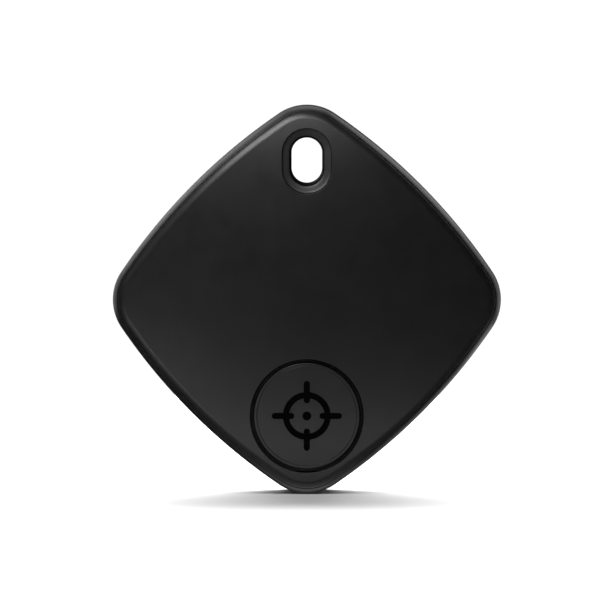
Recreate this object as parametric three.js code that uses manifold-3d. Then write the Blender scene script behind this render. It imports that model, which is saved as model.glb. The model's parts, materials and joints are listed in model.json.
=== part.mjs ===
import * as THREE from 'three';
import { mergeVertices } from 'three/addons/utils/BufferGeometryUtils.js';
import Module from 'manifold-3d';

// Bluetooth tracker tag: a square coin-cell tag that hangs by the slot in its top corner.
// Millimetres. It stands upright: +X right, +Z up, and the front with its button looks along -Y.
// Every piece is drawn about the middle of the case. The last group puts the origin in the slot.

// Case, seen from the front: a square on its corner, with bowed sides and round corners.
const HALF_ACROSS = 19.0; // centre to the middle of a side
const CORNER_REACH = 22.85; // centre to the tip of a corner
const CORNER_RADIUS = 5.9;
const THICKNESS = 8.6;
const FRONT_WALL = 1.2;
const REAR_WALL = 1.0;
const SIDE_WALL = 1.6;

// Front edge, from the flat face outwards: a round shoulder, a fine crease, and a steeper round rim.
const SHOULDER_INSET = 1.5; // where the flat face ends
const SHOULDER_RADIUS = 1.5;
const SHOULDER_TILT = { from: 6, to: 38 }; // degrees from the face
const RIM_RADIUS = 2.4;
const RIM_TILT = 48;
const RIM_BEHIND_FRONT = 2.0; // to the widest line of the case
const CREASE = { inset: 0.675, depth: 0.46 };
const REAR_EDGE_RADIUS = 1.3;

// Parting line and the tongue that snaps into the front shell. Insets are from the case outline.
const SEAM = 1.4; // behind the middle plane
const SEAM_GAP = 0.1;
const SEAM_BEVEL = 0.15;
const LIP_WALL = 0.85;
const TONGUE_OUTER = 1.0;
const TONGUE_INNER = 1.7;
const TONGUE_END = -0.1;
const REBATE_FLOOR = -0.6;
const SNAP_HEIGHT = 0.1;
const SNAP_LENGTH = 6;
const SNAP_FRONT = 0.25;
const SNAP_REAR = 0.55;
const SNAP_POCKET_DEPTH = 0.2;
const SNAP_SLACK = 0.1;
const SEAL_OUTER = 0.95;
const SEAL_INNER = 1.55;
const SEAL_GAP = 0.05; // short of the tongue
const PRY_NOTCH = { width: 5, height: 1.2, front: SEAM - 0.5, rear: SEAM + 0.8 };

// Keyring slot: an upright stadium in a shallow dished recess on each face.
const SLOT_ABOVE_CENTRE = 16.33;
const SLOT_WIDTH = 3.6;
const SLOT_HEIGHT = 5.45;
const SLOT_RECESS = [[1.13, 0], [1.0, 0.26], [0.32, 0.41], [0.12, 0.6], [0, 1.5]]; // [offset, depth]
const SLOT_TUBE_WALL = 1.3;
const SLOT_TUBE_SLACK = 0.1; // short of the rear cover

// Button, centred below the middle of the case.
const BUTTON_BELOW_CENTRE = 13.59;
const BUTTON_RADIUS = 6.23;
const BUTTON_HOLE_RADIUS = 6.68;
const BUTTON_FLANGE = 0.45;
const BUTTON_FLANGE_RADIUS = 6.8;
const BUTTON_FLANGE_GAP = 0.05; // behind the front wall
const BUTTON_GROOVE = { front: 0.72, rear: 1.12, depth: 0.2 }; // front and rear from the case's front
const BUTTON_SEAL = { middle: 0.19, behindFront: 0.92, radius: 0.18 }; // middle is outside the cap's side
const BUTTON_SIDE_STOP = { width: 16, height: 3 };
const BUTTON_UPPER_STOP = { width: 3, height: 7.3 };
const BUTTON_LOWER_STOP = { width: 2.4, height: 7.1 };
const BUTTON_PIP_RADIUS = 1.2;
const BUTTON_PIP_GAP = 0.02;
const BUTTON_GUIDE = { x: 7.9, z: 2.1, radius: 0.45, clearance: 0.8 };
const BUTTON_TRAVEL = 0.25;
const GLYPH_DEPTH = 0.12;
const GLYPH_STROKE = 0.7;
const GLYPH_RING_RADIUS = 2.45; // to the middle of the stroke
const GLYPH_TICK_IN = 1.5;
const GLYPH_TICK_OUT = 4.1;
const GLYPH_DOT_RADIUS = 0.5;
const GLYPH_GAP = 0.04;
const GLYPH_SUNK = 0.02;

// CR2032 cell and the layers in front of it.
const CELL_RADIUS = 10;
const CELL_HEIGHT = 3.2;
const CELL_CAN = 0.3;
const CELL_CAP_RADIUS = 8.8;
const CELL_CAP_RIM = 0.75; // behind the cap's face
const CELL_LIP = 0.35; // the can's crimped edge, behind the cap's face
const ANODE = { radius: 7.8, thickness: 0.6 };
const SEPARATOR = { radius: 8.6, thickness: 0.1 };
const CATHODE_RADIUS = 8.2;
const LAYER_GAP = 0.02;
const PAD_RADIUS = 8;
const PAD_GAP = 0.03;
const PAD_SPACE = 0.25;
const CONTACT_SPACE = 0.3;
const BOARD_THICKNESS = 0.8;
const BOARD_INSET = 2.0;
const BOARD_TOP = 11.9;

const FRONT = -THICKNESS / 2;
const REAR = THICKNESS / 2;
const INNER_FRONT = FRONT + FRONT_WALL;
const INNER_REAR = REAR - REAR_WALL;
const CELL_REAR = INNER_REAR - PAD_SPACE;
const CELL_FRONT = CELL_REAR - CELL_HEIGHT;
const BOARD_REAR = CELL_FRONT - CONTACT_SPACE;
const BOARD_FRONT = BOARD_REAR - BOARD_THICKNESS;

// Tact switch behind the button.
const SWITCH_SIZE = 4.0;
const SWITCH_BASE = 0.61;
const SWITCH_COVER = 0.12;
const SWITCH_WELL_RADIUS = 1.15;
const SWITCH_FLOOR = 0.12;
const DOME_THICKNESS = 0.06;
const DOME_GAP = 0.1; // round the dome, and round the plunger in the cover
const PLUNGER_RADIUS = 0.7;
const PLUNGER_GAP = 0.02;
const PLUNGER_TOP = 0.32; // above the switch's cover
const PLUNGER_FLANGE_RADIUS = 0.95;
const SWITCH_FRONT = BOARD_FRONT - SWITCH_BASE - SWITCH_COVER;

// Battery frame, screws and the pegs that place the board.
const FRAME_INNER = 10.25;
const FRAME_OUTER = 11.3;
const FRAME_REAR = 1.9;
const CONTACT_WINDOW = { width: 4.6, height: 4 };
const FINGER_NOTCH = { width: 8, height: 4, front: 0.4 };
const EAR_THICKNESS = 0.6;
const EAR_RADIUS = 1.9;
const SCREW_X = 16;
const SCREW_RADIUS = 0.6;
const SCREW_HEAD_RADIUS = 1.3;
const SCREW_HEAD_HEIGHT = 0.6;
const SCREW_CLEARANCE = 0.9;
const BOSS_RADIUS = 1.6;
const PILOT_RADIUS = 0.7;
const SCREW_TIP = INNER_FRONT + 0.5;
const SCREW_POINT = 0.3;
const SCREW_GAP = 0.1; // beyond the tip
const SCREW_RECESS = { length: 1.5, width: 0.35, depth: 0.35 };
const PEG = { x: 8.5, z: 9.6, radius: 0.6, hole: 0.75, shoulder: 1.2, beyond: 0.25 };
const POST = { x: 9.5, z: -9.0, radius: 1.0 };
const POSITIVE_CONTACT_TURN = 135; // degrees from the top, towards the right
const POSITIVE_CONTACT = { leaf: 10.08, foot: 13.4, rear: 1.6, sheet: 0.18, width: 3.6 };
const NEGATIVE_CONTACT = { foot: 3, tip: 7, rise: 6, sheet: 0.12, width: 3 }; // half-lengths, and its strip

// Sounder on the inside of the front wall.
const SOUNDER_Z = 2.5;
const SOUNDER_RADIUS = 7.5;
const SOUNDER_RIB = { gap: 0.15, wall: 0.6, height: 0.6 };
const SOUNDER_LAYER = 0.2;
const ADHESIVE_WIDTH = 1.5;
const CERAMIC_RADIUS = 5.2;
const LEAD_RADIUS = 0.22;
const LEAD_GAP = 0.03;

const ROOTED = 0.2; // how far a post or tube starts inside the wall it stands on
const BEYOND = 1; // how far a cutter runs past what it cuts

const wasm = await Module();
wasm.setup();

// ---- Materials ----

function finish(color, roughness, metalness = 0) {
  return new THREE.MeshStandardMaterial({ color, roughness, metalness });
}

const shellPlastic = finish(0x17171a, 0.42);
const buttonPlastic = finish(0x131315, 0.4);
const glyphInk = finish(0x030303, 0.25);
const silicone = finish(0x0b0b0c, 0.6);
const foam = finish(0x26262a, 0.95);
const framePlastic = finish(0x1d1d20, 0.55);
const nylon = finish(0x2a2c33, 0.6);
const solderMask = finish(0x0f3a22, 0.4);
const chipResin = finish(0x141416, 0.5);
const switchPlastic = finish(0x191919, 0.5);
const steel = finish(0xb9bbbd, 0.3, 1);
const springBronze = finish(0xc9a35e, 0.3, 1);
const brass = finish(0xc8a24a, 0.35, 1);
const ceramic = finish(0xe6e2d8, 0.5);
const tanCeramic = finish(0xa98c66, 0.5);
const adhesive = finish(0xd8d5cc, 0.8);
const graphite = finish(0x3a3b3d, 0.8);
const lithium = finish(0x9ea2a6, 0.45, 1);
const paper = finish(0xece9e0, 0.9);
const redSleeve = finish(0x9c1414, 0.45);
const blackSleeve = finish(0x101010, 0.45);

// ---- Geometry helpers ----

const radians = THREE.MathUtils.degToRad;

// Points (x, z) on an arc, its end included.
function arcPoints(cx, cz, radius, from, to, steps) {
  return Array.from({ length: steps + 1 }, (_, i) => {
    const angle = from + ((to - from) * i) / steps;
    return new THREE.Vector2(cx + radius * Math.cos(angle), cz + radius * Math.sin(angle));
  });
}

// The case outline moved inwards by inset: four corner arcs and four side arcs, tangent to each other.
function caseOutline(inset) {
  const cornerCentre = CORNER_REACH - CORNER_RADIUS;
  const flat = HALF_ACROSS - CORNER_RADIUS;
  const diagonal = Math.SQRT1_2;
  // Distance of a side arc's centre beyond the middle, from its tangency with the corner arcs.
  const beyond = (cornerCentre ** 2 - flat ** 2) / (2 * (flat - cornerCentre * diagonal));
  const sideRadius = HALF_ACROSS + beyond;
  const meet = Math.atan2(beyond * diagonal, cornerCentre + beyond * diagonal);
  const points = [];
  for (let quarter = 0; quarter < 4; quarter++) {
    const corner = (quarter * Math.PI) / 2;
    const side = corner + Math.PI / 4;
    const cx = cornerCentre * Math.cos(corner);
    const cz = cornerCentre * Math.sin(corner);
    points.push(...arcPoints(cx, cz, CORNER_RADIUS - inset, corner - meet, corner + meet, 7));
    const sx = -beyond * Math.cos(side);
    const sz = -beyond * Math.sin(side);
    const half = Math.PI / 4 - meet;
    points.push(...arcPoints(sx, sz, sideRadius - inset, side - half, side + half, 5).slice(1, -1));
  }
  return points;
}

// The slot's outline, larger by offset.
function slotOutline(offset) {
  const radius = SLOT_WIDTH / 2 + offset;
  const straight = (SLOT_HEIGHT - SLOT_WIDTH) / 2;
  return [
    ...arcPoints(0, SLOT_ABOVE_CENTRE + straight, radius, 0, Math.PI, 12),
    ...arcPoints(0, SLOT_ABOVE_CENTRE - straight, radius, Math.PI, 2 * Math.PI, 12),
  ];
}

// Layers [inset, y] along an arc in the cross-section of an edge, angles in degrees.
function edgeArc(inset, y, radius, from, to, steps) {
  return arcPoints(inset, y, radius, radians(from), radians(to), steps).map((p) => [p.x, p.y]);
}

// A closed solid through one outline after another, from the front backwards. A layer is [inset, y].
function loft(outline, layers) {
  const rings = layers.map(([inset, y]) => outline(inset).map((p) => new THREE.Vector3(p.x, y, p.y)));
  const count = rings[0].length;
  const index = [];
  for (let k = 0; k < rings.length - 1; k++) {
    for (let i = 0; i < count; i++) {
      const a = k * count + i;
      const b = k * count + ((i + 1) % count);
      index.push(a, a + count, b, b, a + count, b + count);
    }
  }
  const faces = THREE.ShapeUtils.triangulateShape(outline(layers[0][0]), []);
  const last = (rings.length - 1) * count;
  for (const [a, b, c] of faces) {
    index.push(a, b, c, last + c, last + b, last + a);
  }
  return new THREE.BufferGeometry().setFromPoints(rings.flat()).setIndex(index);
}

// A cylinder along the depth, from y = front to y = rear.
function cylinder(radius, front, rear, x = 0, z = 0, segments = 32) {
  const shape = new THREE.CylinderGeometry(radius, radius, rear - front, segments);
  return shape.translate(x, (front + rear) / 2, z);
}

// A block from y = front to y = rear, centred on (x, z).
function block(width, height, front, rear, x = 0, z = 0) {
  return new THREE.BoxGeometry(width, rear - front, height).translate(x, (front + rear) / 2, z);
}

// A ring along the depth, with a square section.
function ring(inner, outer, front, rear, segments = 32) {
  return turned([[outer, front], [outer, rear], [inner, rear], [inner, front], [outer, front]], segments);
}

// A solid turned about the depth axis from [radius, y] points.
function turned(profile, segments = 32) {
  return new THREE.LatheGeometry(profile.map(([r, y]) => new THREE.Vector2(r, y)), segments);
}

function solid(geometry) {
  const bare = geometry.clone();
  bare.deleteAttribute('normal');
  bare.deleteAttribute('uv');
  const merged = mergeVertices(bare, 1e-4);
  return new wasm.Manifold(new wasm.Mesh({
    numProp: 3,
    vertProperties: new Float32Array(merged.attributes.position.array),
    triVerts: new Uint32Array(merged.index.array),
  }));
}

function joined(base, ...others) {
  return others.reduce((sum, other) => sum.add(solid(other)), base);
}

function cut(base, ...others) {
  return others.reduce((rest, other) => rest.subtract(solid(other)), base);
}

function geometryOf(made) {
  const mesh = made.getMesh();
  const geometry = new THREE.BufferGeometry();
  geometry.setAttribute('position', new THREE.BufferAttribute(mesh.vertProperties, 3));
  geometry.setIndex(new THREE.BufferAttribute(mesh.triVerts, 1));
  geometry.computeVertexNormals();
  return geometry;
}

const middle = new THREE.Group(); // its origin is the middle of the case

function piece(name, geometry, material, x = 0, y = 0, z = 0, turn = 0) {
  const mesh = new THREE.Mesh(geometry, material);
  mesh.name = name;
  mesh.position.set(x, y, z);
  mesh.rotation.y = radians(turn);
  middle.add(mesh);
}

// ---- Case ----

// The slot right through the case, with its recess on both faces.
function slotCutter() {
  const [[mouth]] = SLOT_RECESS;
  return loft(slotOutline, [
    [mouth, FRONT - BEYOND],
    ...SLOT_RECESS.map(([offset, depth]) => [offset, FRONT + depth]),
    ...SLOT_RECESS.map(([offset, depth]) => [offset, REAR - depth]).reverse(),
    [mouth, REAR + BEYOND],
  ]);
}

// The four short stretches, one in the middle of each side, of a band round the case.
function snapBeads(outer, inner, front, rear, length) {
  const band = cut(solid(loft(caseOutline, [[outer, front], [outer, rear]])),
    loft(caseOutline, [[inner, front - BEYOND], [inner, rear + BEYOND]]));
  const across = [45, -45].map((turn) =>
    block(length, 3 * CORNER_REACH, front - BEYOND, rear + BEYOND).rotateY(radians(turn)));
  return band.intersect(joined(solid(across[0]), across[1]));
}

function frontShell() {
  const { from, to } = SHOULDER_TILT;
  const skin = solid(loft(caseOutline, [
    ...edgeArc(SHOULDER_INSET + SHOULDER_RADIUS * Math.sin(radians(from)),
      FRONT + SHOULDER_RADIUS * Math.cos(radians(from)), SHOULDER_RADIUS, -90 - from, -90 - to, 3),
    [CREASE.inset, FRONT + CREASE.depth],
    ...edgeArc(RIM_RADIUS, FRONT + RIM_BEHIND_FRONT, RIM_RADIUS, -90 - RIM_TILT, -180, 4),
    [0, SEAM - SEAM_GAP / 2 - SEAM_BEVEL],
    [SEAM_BEVEL, SEAM - SEAM_GAP / 2],
  ]));
  const hollow = cut(skin,
    loft(caseOutline, [[SIDE_WALL, INNER_FRONT], [SIDE_WALL, SEAM + BEYOND]]),
    loft(caseOutline, [[LIP_WALL, REBATE_FLOOR], [LIP_WALL, SEAM + BEYOND]]));
  const pockets = snapBeads(LIP_WALL - SNAP_POCKET_DEPTH, LIP_WALL + SNAP_POCKET_DEPTH,
    SNAP_FRONT - SNAP_SLACK, SNAP_REAR + SNAP_SLACK, SNAP_LENGTH + 6 * SNAP_SLACK);
  const root = INNER_FRONT - ROOTED;
  const ribInner = SOUNDER_RADIUS + SOUNDER_RIB.gap;
  const inside = [
    loft(slotOutline, [[SLOT_TUBE_WALL, root], [SLOT_TUBE_WALL, INNER_REAR - SLOT_TUBE_SLACK]]),
    ring(ribInner, ribInner + SOUNDER_RIB.wall, root, INNER_FRONT + SOUNDER_RIB.height)
      .translate(0, 0, SOUNDER_Z),
  ];
  const pilots = [];
  for (const side of [-1, 1]) {
    inside.push(
      cylinder(BOSS_RADIUS, root, BOARD_FRONT, side * SCREW_X, 0, 20),
      cylinder(POST.radius, root, BOARD_FRONT, side * POST.x, POST.z, 16),
      cylinder(PEG.shoulder, root, BOARD_FRONT, side * PEG.x, PEG.z, 16),
      cylinder(PEG.radius, root, BOARD_REAR + PEG.beyond, side * PEG.x, PEG.z, 16),
      ...[-1, 1].map((end) => cylinder(BUTTON_GUIDE.radius, root, BOARD_FRONT - BUTTON_GUIDE.clearance,
        side * BUTTON_GUIDE.x, end * BUTTON_GUIDE.z - BUTTON_BELOW_CENTRE, 12)),
    );
    pilots.push(cylinder(PILOT_RADIUS, SCREW_TIP - SCREW_GAP, BOARD_FRONT + BEYOND, side * SCREW_X, 0, 24));
  }
  return cut(joined(hollow.subtract(pockets), ...inside),
    slotCutter(),
    cylinder(BUTTON_HOLE_RADIUS, FRONT - BEYOND, INNER_FRONT + BEYOND, 0, -BUTTON_BELOW_CENTRE, 48),
    ...pilots);
}

function rearCover() {
  const skin = solid(loft(caseOutline, [
    [SEAM_BEVEL, SEAM + SEAM_GAP / 2],
    [0, SEAM + SEAM_GAP / 2 + SEAM_BEVEL],
    ...edgeArc(REAR_EDGE_RADIUS, REAR - REAR_EDGE_RADIUS, REAR_EDGE_RADIUS, 180, 90, 5),
  ]));
  const withTongue = joined(skin,
    loft(caseOutline, [[TONGUE_OUTER, TONGUE_END], [TONGUE_OUTER, SEAM + ROOTED]]));
  const beads = snapBeads(TONGUE_OUTER - SNAP_HEIGHT, TONGUE_OUTER + SNAP_HEIGHT,
    SNAP_FRONT, SNAP_REAR, SNAP_LENGTH);
  const { width, height, front, rear } = PRY_NOTCH;
  return cut(withTongue.add(beads),
    loft(caseOutline, [[TONGUE_INNER, TONGUE_END - BEYOND], [TONGUE_INNER, INNER_REAR]]),
    slotCutter(),
    block(width, height, front, rear, 0, -CORNER_REACH));
}

function caseSeal() {
  return cut(solid(loft(caseOutline, [[SEAL_OUTER, REBATE_FLOOR], [SEAL_OUTER, TONGUE_END - SEAL_GAP]])),
    loft(caseOutline, [[SEAL_INNER, REBATE_FLOOR - BEYOND], [SEAL_INNER, SEAM]]));
}

// ---- Button ----

// Drawn about the button's own axis.
function buttonCap() {
  const flangeFront = INNER_FRONT + BUTTON_FLANGE_GAP;
  const flangeRear = flangeFront + BUTTON_FLANGE;
  const grooveFront = FRONT + BUTTON_GROOVE.front;
  const grooveRear = FRONT + BUTTON_GROOVE.rear;
  const pipRear = SWITCH_FRONT - PLUNGER_TOP - BUTTON_PIP_GAP;
  const body = solid(turned([
    [0, FRONT],
    [BUTTON_RADIUS - 0.41, FRONT],
    [BUTTON_RADIUS - 0.1, FRONT + 0.08],
    [BUTTON_RADIUS, FRONT + 0.2],
    [BUTTON_RADIUS, grooveFront],
    [BUTTON_RADIUS - BUTTON_GROOVE.depth, grooveFront],
    [BUTTON_RADIUS - BUTTON_GROOVE.depth, grooveRear],
    [BUTTON_RADIUS, grooveRear],
    [BUTTON_RADIUS, flangeFront],
    [BUTTON_FLANGE_RADIUS, flangeFront],
    [BUTTON_FLANGE_RADIUS, flangeRear],
    [BUTTON_PIP_RADIUS, flangeRear],
    [BUTTON_PIP_RADIUS, pipRear],
    [0, pipRear],
  ], 48));
  const [side, upper, lower] = [BUTTON_SIDE_STOP, BUTTON_UPPER_STOP, BUTTON_LOWER_STOP];
  const stops = [
    block(side.width, side.height, flangeFront, flangeRear),
    block(upper.width, upper.height, flangeFront, flangeRear, 0, upper.height / 2),
    block(lower.width, lower.height, flangeFront, flangeRear, 0, -lower.height / 2),
  ];
  const pocket = glyph(GLYPH_GAP, FRONT - BEYOND, FRONT + GLYPH_DEPTH + GLYPH_SUNK);
  return cut(joined(body, ...stops), ...pocket.all);
}

// A plain aiming mark: a ring crossed by four ticks, and a dot. grow widens every stroke for its pocket.
function glyph(grow, front, rear) {
  const half = GLYPH_STROKE / 2 + grow;
  const tick = GLYPH_TICK_OUT - GLYPH_TICK_IN + 2 * grow;
  const reach = (GLYPH_TICK_OUT + GLYPH_TICK_IN) / 2;
  const circle = ring(GLYPH_RING_RADIUS - half, GLYPH_RING_RADIUS + half, front, rear);
  const ticks = [-1, 1].flatMap((side) => [
    block(tick, 2 * half, front, rear, side * reach, 0),
    block(2 * half, tick, front, rear, 0, side * reach),
  ]);
  const dot = cylinder(GLYPH_DOT_RADIUS + grow, front, rear, 0, 0, 24);
  return { mark: joined(solid(circle), ...ticks), dot, all: [circle, ...ticks, dot] };
}

// A silicone ring in the groove of the button's side.
function buttonSeal() {
  const { middle: outside, behindFront, radius } = BUTTON_SEAL;
  const section = arcPoints(BUTTON_RADIUS + outside, FRONT + behindFront, radius, 0, 2 * Math.PI, 6);
  return turned(section.map((p) => [p.x, p.y]), 40);
}

// ---- Tact switch, drawn about its own axis ----

function switchBase() {
  return cut(solid(block(SWITCH_SIZE, SWITCH_SIZE, BOARD_FRONT - SWITCH_BASE, BOARD_FRONT)),
    cylinder(SWITCH_WELL_RADIUS, BOARD_FRONT - BEYOND, BOARD_FRONT - SWITCH_FLOOR, 0, 0, 24));
}

function switchCover() {
  return cut(solid(block(SWITCH_SIZE, SWITCH_SIZE, SWITCH_FRONT, SWITCH_FRONT + SWITCH_COVER)),
    cylinder(PLUNGER_RADIUS + DOME_GAP, SWITCH_FRONT - BEYOND, SWITCH_FRONT + BEYOND, 0, 0, 24));
}

function switchDome() {
  const floor = BOARD_FRONT - SWITCH_FLOOR;
  return cylinder(SWITCH_WELL_RADIUS - DOME_GAP, floor - DOME_THICKNESS, floor, 0, 0, 24);
}

function switchPlunger() {
  const under = SWITCH_FRONT + SWITCH_COVER + PLUNGER_GAP;
  const foot = BOARD_FRONT - SWITCH_FLOOR - DOME_THICKNESS - BUTTON_TRAVEL - PLUNGER_GAP;
  return turned([
    [0, SWITCH_FRONT - PLUNGER_TOP],
    [PLUNGER_RADIUS, SWITCH_FRONT - PLUNGER_TOP],
    [PLUNGER_RADIUS, under],
    [PLUNGER_FLANGE_RADIUS, under],
    [PLUNGER_FLANGE_RADIUS, foot],
    [0, foot],
  ], 16);
}

// ---- Board and the parts soldered to its front ----

function mainBoard() {
  const sheet = loft(caseOutline, [[BOARD_INSET, BOARD_FRONT], [BOARD_INSET, BOARD_REAR]]);
  const [front, rear] = [BOARD_FRONT - BEYOND, BOARD_REAR + BEYOND];
  const top = block(2 * CORNER_REACH, CORNER_REACH, front, rear, 0, BOARD_TOP + CORNER_REACH / 2);
  const holes = [-1, 1].flatMap((side) => [
    cylinder(SCREW_CLEARANCE, front, rear, side * SCREW_X, 0, 24),
    cylinder(PEG.hole, front, rear, side * PEG.x, PEG.z, 24),
  ]);
  return cut(solid(sheet), top, ...holes);
}

// A soldered part of that width, height and thickness, turned in degrees about the board's normal.
function boardPart(name, material, width, height, thickness, x, z, turn = 0) {
  piece(name, block(width, height, -thickness, 0), material, x, BOARD_FRONT, z, turn);
}

function boostInductor() {
  const [radius, thickness] = [1.6, 1.2];
  return turned([
    [0, -thickness], [radius, -thickness], [radius, -0.85 * thickness], [0.8 * radius, -0.8 * thickness],
    [0.8 * radius, -0.2 * thickness], [radius, -0.15 * thickness], [radius, 0], [0, 0],
  ], 16);
}

// ---- Sounder ----

// A sleeved lead that lies on one surface at one end and on the next at the other, with a slack bow between.
function lead(from, to, bow) {
  const between = (share, height) => new THREE.Vector3(
    from.x + (to.x - from.x) * share,
    from.y + (to.y - from.y) * height,
    from.z + (to.z - from.z) * share + bow * Math.sin(Math.PI * share),
  );
  const path = new THREE.CatmullRomCurve3(
    [[0, 0], [0.15, 0], [0.35, 0.3], [0.6, 0.8], [0.85, 1], [1, 1]].map((spot) => between(...spot)));
  const section = new THREE.Shape(arcPoints(0, 0, LEAD_RADIUS, 0, 2 * Math.PI, 8).slice(0, -1));
  return new THREE.ExtrudeGeometry(section, { steps: 10, bevelEnabled: false, extrudePath: path });
}

// ---- Coin cell, its positive side to the rear ----

function cellCan() {
  const lip = CELL_FRONT + CELL_LIP;
  return turned([
    [0, CELL_REAR - CELL_CAN],
    [CELL_RADIUS - CELL_CAN, CELL_REAR - CELL_CAN],
    [CELL_RADIUS - CELL_CAN, lip + CELL_CAN],
    [CELL_RADIUS - 0.6, lip + 0.1],
    [CELL_RADIUS - 0.5, lip - 0.1],
    [CELL_RADIUS - 0.15, lip],
    [CELL_RADIUS, lip + 0.3],
    [CELL_RADIUS, CELL_REAR - 0.3],
    [CELL_RADIUS - 0.3, CELL_REAR],
    [0, CELL_REAR],
  ], 40);
}

function cellCap() {
  const rim = CELL_FRONT + CELL_CAP_RIM;
  return turned([
    [0, CELL_FRONT],
    [CELL_CAP_RADIUS - 0.5, CELL_FRONT],
    [CELL_CAP_RADIUS - 0.1, CELL_FRONT + 0.3],
    [CELL_CAP_RADIUS, rim],
    [CELL_CAP_RADIUS - 0.3, rim],
    [CELL_CAP_RADIUS - 0.4, CELL_FRONT + 0.4],
    [CELL_CAP_RADIUS - 0.6, CELL_FRONT + 0.3],
    [0, CELL_FRONT + 0.3],
  ]);
}

function cellPieces() {
  const inside = CELL_REAR - CELL_CAN - LAYER_GAP;
  const gasket = ring(CELL_CAP_RADIUS + 0.05, CELL_RADIUS - 0.65, CELL_FRONT + CELL_CAN, inside);
  const anodeFront = CELL_FRONT + CELL_CAN + LAYER_GAP;
  const separatorFront = anodeFront + ANODE.thickness + LAYER_GAP;
  const cathodeFront = separatorFront + SEPARATOR.thickness + LAYER_GAP;
  piece('coin_cell_can', cellCan(), steel);
  piece('coin_cell_cap', cellCap(), steel);
  piece('coin_cell_gasket', gasket, nylon);
  piece('coin_cell_anode', cylinder(ANODE.radius, anodeFront, anodeFront + ANODE.thickness), lithium);
  piece('coin_cell_separator',
    cylinder(SEPARATOR.radius, separatorFront, separatorFront + SEPARATOR.thickness), paper);
  piece('coin_cell_cathode', cylinder(CATHODE_RADIUS, cathodeFront, inside), graphite);
}

// ---- Battery frame, contacts, pad and screws ----

function batteryFrame() {
  const ears = [-1, 1].flatMap((side) => [
    block(SCREW_X - FRAME_OUTER + 1, 2 * EAR_RADIUS, BOARD_REAR, BOARD_REAR + EAR_THICKNESS,
      (side * (SCREW_X + FRAME_OUTER - 1)) / 2),
    cylinder(EAR_RADIUS, BOARD_REAR, BOARD_REAR + EAR_THICKNESS, side * SCREW_X, 0, 24),
  ]);
  const [front, rear] = [BOARD_REAR - BEYOND, FRAME_REAR + BEYOND];
  const holes = [-1, 1].map((side) => cylinder(SCREW_CLEARANCE, front, rear, side * SCREW_X, 0, 24));
  const bore = cylinder(FRAME_INNER, front, rear, 0, 0, 40);
  const contactWindow = block(CONTACT_WINDOW.width, CONTACT_WINDOW.height, front, rear, 0, FRAME_OUTER)
    .rotateY(radians(POSITIVE_CONTACT_TURN));
  const notch = FINGER_NOTCH;
  const fingerNotch = block(notch.width, notch.height, notch.front, rear, 0, -FRAME_OUTER);
  const outer = solid(cylinder(FRAME_OUTER, BOARD_REAR, FRAME_REAR, 0, 0, 40));
  return cut(joined(outer, ...ears), bore, contactWindow, fingerNotch, ...holes);
}

// An angle of strip: its foot on the board, its leaf against the side of the can.
function positiveContact() {
  const { leaf, foot, rear, sheet, width } = POSITIVE_CONTACT;
  const low = BOARD_REAR + LAYER_GAP;
  const angle = new THREE.Shape([
    [leaf, low], [foot, low], [foot, low + sheet],
    [leaf + sheet, low + sheet], [leaf + sheet, rear], [leaf, rear],
  ].map(([r, y]) => new THREE.Vector2(r, y)));
  const strip = new THREE.ExtrudeGeometry(angle, { depth: width, bevelEnabled: false });
  // From the drawing's (radius, depth) plane to a strip that stands at the top of the cell.
  return strip.translate(0, 0, -width / 2).rotateY(-Math.PI / 2);
}

// A flat foot on the board with two fingers that rise to the cell's cap.
function negativeContact() {
  const { foot, tip, rise, sheet, width } = NEGATIVE_CONTACT;
  const [low, high] = [BOARD_REAR + LAYER_GAP / 2, CELL_FRONT - LAYER_GAP];
  const lean = 0.1; // keeps the sheet about as thick on the slope
  const right = [
    [foot, low], [rise, high - sheet], [tip, high - sheet],
    [tip, high], [rise - lean, high], [foot - lean, low + sheet],
  ];
  const left = right.map(([x, y]) => [-x, y]).reverse();
  const outline = new THREE.Shape([...right, ...left].map(([x, y]) => new THREE.Vector2(x, y)));
  const strip = new THREE.ExtrudeGeometry(outline, { depth: width, bevelEnabled: false });
  return strip.translate(0, 0, -width / 2);
}

// Drawn about the screw's own axis: pan head to the rear, with a cross recess.
function boardScrew() {
  const seat = BOARD_REAR + EAR_THICKNESS;
  const top = seat + SCREW_HEAD_HEIGHT;
  const body = solid(turned([
    [0, SCREW_TIP],
    [SCREW_RADIUS * 0.5, SCREW_TIP],
    [SCREW_RADIUS, SCREW_TIP + SCREW_POINT],
    [SCREW_RADIUS, seat],
    [SCREW_HEAD_RADIUS, seat],
    [SCREW_HEAD_RADIUS, top - 0.25],
    [SCREW_HEAD_RADIUS * 0.8, top],
    [0, top],
  ], 16));
  const { length, width, depth } = SCREW_RECESS;
  return cut(body,
    block(length, width, top - depth, top + BEYOND),
    block(width, length, top - depth, top + BEYOND));
}

// ---- Assembly ----

piece('front_shell', geometryOf(frontShell()), shellPlastic);
piece('rear_cover', geometryOf(rearCover()), shellPlastic);
piece('case_seal', geometryOf(caseSeal()), silicone);

const mark = glyph(0, FRONT + GLYPH_SUNK, FRONT + GLYPH_DEPTH);
piece('button_cap', geometryOf(buttonCap()), buttonPlastic, 0, 0, -BUTTON_BELOW_CENTRE);
piece('button_icon', geometryOf(mark.mark), glyphInk, 0, 0, -BUTTON_BELOW_CENTRE);
piece('button_icon_dot', mark.dot, glyphInk, 0, 0, -BUTTON_BELOW_CENTRE);
piece('button_seal', buttonSeal(), silicone, 0, 0, -BUTTON_BELOW_CENTRE);

piece('switch_base', geometryOf(switchBase()), switchPlastic, 0, 0, -BUTTON_BELOW_CENTRE);
piece('switch_cover', geometryOf(switchCover()), steel, 0, 0, -BUTTON_BELOW_CENTRE);
piece('switch_dome', switchDome(), steel, 0, 0, -BUTTON_BELOW_CENTRE);
piece('switch_plunger', switchPlunger(), switchPlastic, 0, 0, -BUTTON_BELOW_CENTRE);

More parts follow.
